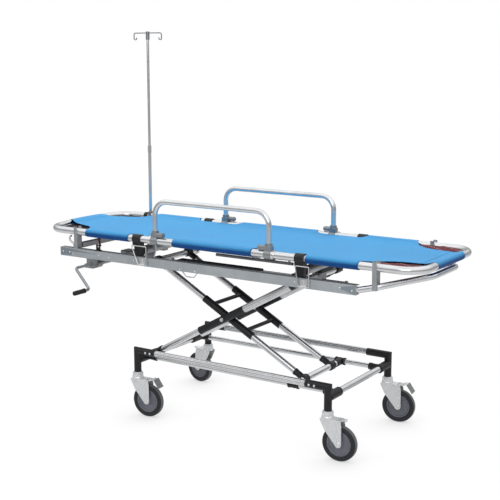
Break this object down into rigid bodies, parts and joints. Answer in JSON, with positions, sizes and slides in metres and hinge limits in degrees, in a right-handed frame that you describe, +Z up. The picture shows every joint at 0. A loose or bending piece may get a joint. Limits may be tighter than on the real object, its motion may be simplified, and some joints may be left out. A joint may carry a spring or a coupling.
{
  "type": "ambulance cot",
  "caption": "Wheeled ambulance cot: sheet-topped tube stretcher with folding side rails and drip pole on a crank-raised crossed-leg carriage.",
  "frame": {"origin": "centre of the bounding box's base, on the floor", "axes": "+X towards the foot end, +Y towards the patient's left, +Z up"},
  "size_m": [1.9571, 0.801, 1.734],
  "materials": {
    "bright_aluminium": "polished drawn tube with light scratches",
    "channel_aluminium": "brushed extrusion",
    "black_fittings": "satin black moulded fittings",
    "zinc_steel": "zinc plated pressed steel",
    "chrome_wire": "bright plated wire",
    "dark_steel": "dull machined steel",
    "tyre_rubber": "dark grey rubber tread on a grey core",
    "blue_sheet": "coated woven sheet",
    "maroon_sheet": "woven under-sheet",
    "black_grip": "ribbed handle grip"
  },
  "bodies": {
    "base": {"corner_posts": "black_fittings", "base_side_tubes": "bright_aluminium", "base_end_tubes": "bright_aluminium", "lower_guide_rails": "bright_aluminium", "base_tees": "black_fittings"},
    "outer_legs": {"outer_leg_tubes": "bright_aluminium", "outer_leg_sleeves": "black_fittings", "outer_leg_eyes": "black_fittings", "leg_pivot_bolts": "chrome_wire"},
    "inner_legs": {"inner_leg_tubes": "bright_aluminium", "inner_leg_frame": "black_fittings", "inner_leg_eyes": "black_fittings"},
    "lower_slide": {"lower_slide_tube": "bright_aluminium", "lower_slide_tees": "black_fittings"},
    "upper_slide": {"upper_slide_tube": "bright_aluminium", "upper_slide_blocks": "black_fittings"},
    "upper_frame": {"side_channels": "channel_aluminium", "support_posts": "channel_aluminium", "foot_handle": "bright_aluminium", "cradle_blocks": "black_fittings", "leg_pivot_tube": "bright_aluminium", "frame_crossmembers": "channel_aluminium", "frame_rivets_and_loops": "chrome_wire", "damper_cylinder": "black_fittings", "gear_housing": "dark_steel", "crank_bearing": "dark_steel"},
    "crank": {"crank_handle": "zinc_steel", "crank_torque_shaft": "black_fittings"},
    "crank_grip": {"crank_grip": "black_grip"},
    "lead_screw": {"lead_screw": "dark_steel"},
    "stretcher": {"stretcher_frame": "bright_aluminium", "stretcher_sheet": "blue_sheet", "stretcher_undersheet": "maroon_sheet", "stretcher_feet": "black_fittings", "stretcher_rings_and_under_rails": "bright_aluminium", "iv_pole_socket": "black_fittings"},
    "side_rail_right": {"side_rail_right": "bright_aluminium", "rail_collars_right": "bright_aluminium"},
    "side_rail_left": {"side_rail_left": "bright_aluminium", "rail_collars_left": "bright_aluminium"},
    "iv_pole_lower": {"iv_pole_lower": "chrome_wire"},
    "iv_pole_upper": {"iv_pole_upper": "chrome_wire"},
    "latch_bail_right_head": {"latch_bail_right_head": "chrome_wire"},
    "latch_bail_left_head": {"latch_bail_left_head": "chrome_wire"},
    "latch_bail_right_foot": {"latch_bail_right_foot": "chrome_wire"},
    "latch_bail_left_foot": {"latch_bail_left_foot": "chrome_wire"},
    "head_latch_right": {"head_latch_right": "chrome_wire"},
    "head_latch_left": {"head_latch_left": "chrome_wire"},
    "caster_swivel_right_head": {"caster_fork_right_head": "zinc_steel"},
    "caster_wheel_right_head": {"caster_wheel_right_head": "tyre_rubber"},
    "brake_pedal_right_head": {"brake_pedal_right_head": "zinc_steel"},
    "caster_swivel_right_foot": {"caster_fork_right_foot": "zinc_steel"},
    "caster_wheel_right_foot": {"caster_wheel_right_foot": "tyre_rubber"},
    "brake_pedal_right_foot": {"brake_pedal_right_foot": "zinc_steel"},
    "caster_swivel_left_head": {"caster_fork_left_head": "zinc_steel"},
    "caster_wheel_left_head": {"caster_wheel_left_head": "tyre_rubber"},
    "brake_pedal_left_head": {"brake_pedal_left_head": "zinc_steel"},
    "caster_swivel_left_foot": {"caster_fork_left_foot": "zinc_steel"},
    "caster_wheel_left_foot": {"caster_wheel_left_foot": "tyre_rubber"},
    "brake_pedal_left_foot": {"brake_pedal_left_foot": "zinc_steel"}
  },
  "joints": [
    {"name": "lift", "type": "hinge", "parent": "base", "child": "outer_legs", "pos_m": [-0.4105, 0.0855, 0.26], "axis": [0, -1, 0], "range_deg": [-15, 7]},
    {"name": "inner_legs_fold", "type": "hinge", "parent": "outer_legs", "child": "inner_legs", "pos_m": [-0.01855, 0.0855, 0.477], "axis": [0, -1, 0], "range_deg": [-14, 30]},
    {"name": "upper_frame_level", "type": "hinge", "parent": "inner_legs", "child": "upper_frame", "pos_m": [-0.4105, 0.0855, 0.694], "axis": [0, -1, 0], "range_deg": [-15, 7]},
    {"name": "lower_slide_level", "type": "hinge", "parent": "inner_legs", "child": "lower_slide", "pos_m": [0.3734, 0.0855, 0.26], "axis": [0, -1, 0], "range_deg": [-15, 7]},
    {"name": "upper_slide_level", "type": "hinge", "parent": "outer_legs", "child": "upper_slide", "pos_m": [0.3734, 0.0855, 0.694], "axis": [0, -1, 0], "range_deg": [-7, 15]},
    {"name": "crank_turn", "type": "hinge", "parent": "upper_frame", "child": "crank", "pos_m": [-0.6775, -0.2145, 0.671], "axis": [0, 1, 0], "continuous": true},
    {"name": "crank_grip_spin", "type": "hinge", "parent": "crank", "child": "crank_grip", "pos_m": [-0.5985, -0.3545, 0.582], "axis": [0, 1, 0], "continuous": true},
    {"name": "lead_screw_turn", "type": "hinge", "parent": "upper_frame", "child": "lead_screw", "pos_m": [-0.6175, 0.0855, 0.671], "axis": [1, 0, 0], "continuous": true},
    {"name": "stretcher_lift_off", "type": "slide", "parent": "upper_frame", "child": "stretcher", "axis": [0, 0, 1], "range_m": [0, 0.25]},
    {"name": "side_rail_swing_right", "type": "hinge", "parent": "stretcher", "child": "side_rail_right", "pos_m": [0.0825, -0.1895, 0.818], "axis": [1, 0, 0], "range_deg": [0, 145]},
    {"name": "side_rail_swing_left", "type": "hinge", "parent": "stretcher", "child": "side_rail_left", "pos_m": [0.0825, 0.3605, 0.818], "axis": [-1, 0, 0], "range_deg": [0, 145]},
    {"name": "iv_pole_turn", "type": "hinge", "parent": "stretcher", "child": "iv_pole_lower", "pos_m": [-0.7815, 0.3885, 0.82], "axis": [0, 0, 1], "continuous": true},
    {"name": "iv_pole_extend", "type": "slide", "parent": "iv_pole_lower", "child": "iv_pole_upper", "axis": [0, 0, 1], "range_m": [-0.29, 0]},
    {"name": "latch_bail_swing_right_head", "type": "hinge", "parent": "upper_frame", "child": "latch_bail_right_head", "pos_m": [-0.3605, -0.2115, 0.707], "axis": [1, 0, 0], "range_deg": [0, 110]},
    {"name": "latch_bail_swing_left_head", "type": "hinge", "parent": "upper_frame", "child": "latch_bail_left_head", "pos_m": [-0.3605, 0.3825, 0.707], "axis": [-1, 0, 0], "range_deg": [0, 110]},
    {"name": "latch_bail_swing_right_foot", "type": "hinge", "parent": "upper_frame", "child": "latch_bail_right_foot", "pos_m": [0.4645, -0.2115, 0.707], "axis": [1, 0, 0], "range_deg": [0, 110]},
    {"name": "latch_bail_swing_left_foot", "type": "hinge", "parent": "upper_frame", "child": "latch_bail_left_foot", "pos_m": [0.4645, 0.3825, 0.707], "axis": [-1, 0, 0], "range_deg": [0, 110]},
    {"name": "head_latch_swing_right", "type": "hinge", "parent": "upper_frame", "child": "head_latch_right", "pos_m": [-0.7695, -0.1895, 0.752], "axis": [0, -1, 0], "range_deg": [0, 30]},
    {"name": "head_latch_swing_left", "type": "hinge", "parent": "upper_frame", "child": "head_latch_left", "pos_m": [-0.7695, 0.3605, 0.752], "axis": [0, -1, 0], "range_deg": [0, 30]},
    {"name": "caster_turn_right_head", "type": "hinge", "parent": "base", "child": "caster_swivel_right_head", "pos_m": [-0.4105, -0.1915, 0.19], "axis": [0, 0, 1], "continuous": true},
    {"name": "wheel_spin_right_head", "type": "hinge", "parent": "caster_swivel_right_head", "child": "caster_wheel_right_head", "pos_m": [-0.3558, -0.18575, 0.075], "axis": [-0.1045, 0.9945, 0], "continuous": true},
    {"name": "brake_pedal_press_right_head", "type": "hinge", "parent": "caster_swivel_right_head", "child": "brake_pedal_right_head", "pos_m": [-0.35481, -0.18565, 0.168], "axis": [-0.1045, 0.9945, 0], "range_deg": [-25, 0]},
    {"name": "caster_turn_right_foot", "type": "hinge", "parent": "base", "child": "caster_swivel_right_foot", "pos_m": [0.5755, -0.1915, 0.19], "axis": [0, 0, 1], "continuous": true},
    {"name": "wheel_spin_right_foot", "type": "hinge", "parent": "caster_swivel_right_foot", "child": "caster_wheel_right_foot", "pos_m": [0.63037, -0.18766, 0.075], "axis": [-0.0698, 0.9976, 0], "continuous": true},
    {"name": "brake_pedal_press_right_foot", "type": "hinge", "parent": "caster_swivel_right_foot", "child": "brake_pedal_right_foot", "pos_m": [0.63136, -0.18759, 0.168], "axis": [-0.0698, 0.9976, 0], "range_deg": [-25, 0]},
    {"name": "caster_turn_left_head", "type": "hinge", "parent": "base", "child": "caster_swivel_left_head", "pos_m": [-0.4105, 0.3625, 0.19], "axis": [0, 0, 1], "continuous": true},
    {"name": "wheel_spin_left_head", "type": "hinge", "parent": "caster_swivel_left_head", "child": "caster_wheel_left_head", "pos_m": [-0.46497, 0.37016, 0.075], "axis": [-0.1392, -0.9903, 0], "continuous": true},
    {"name": "brake_pedal_press_left_head", "type": "hinge", "parent": "caster_swivel_left_head", "child": "brake_pedal_left_head", "pos_m": [-0.46596, 0.37029, 0.168], "axis": [-0.1392, -0.9903, 0], "range_deg": [-25, 0]},
    {"name": "caster_turn_left_foot", "type": "hinge", "parent": "base", "child": "caster_swivel_left_foot", "pos_m": [0.5755, 0.3625, 0.19], "axis": [0, 0, 1], "continuous": true},
    {"name": "wheel_spin_left_foot", "type": "hinge", "parent": "caster_swivel_left_foot", "child": "caster_wheel_left_foot", "pos_m": [0.62996, 0.37016, 0.075], "axis": [-0.1392, 0.9903, 0], "continuous": true},
    {"name": "brake_pedal_press_left_foot", "type": "hinge", "parent": "caster_swivel_left_foot", "child": "brake_pedal_left_foot", "pos_m": [0.63096, 0.37029, 0.168], "axis": [-0.1392, 0.9903, 0], "range_deg": [-25, 0]}
  ],
  "couplings": [
    {"joint": "inner_legs_fold", "follows": "lift", "ratio": -2},
    {"joint": "upper_frame_level", "follows": "lift", "ratio": 1},
    {"joint": "lower_slide_level", "follows": "lift", "ratio": 1},
    {"joint": "upper_slide_level", "follows": "lift", "ratio": -1},
    {"joint": "lead_screw_turn", "follows": "crank_turn", "ratio": 1}
  ]
}
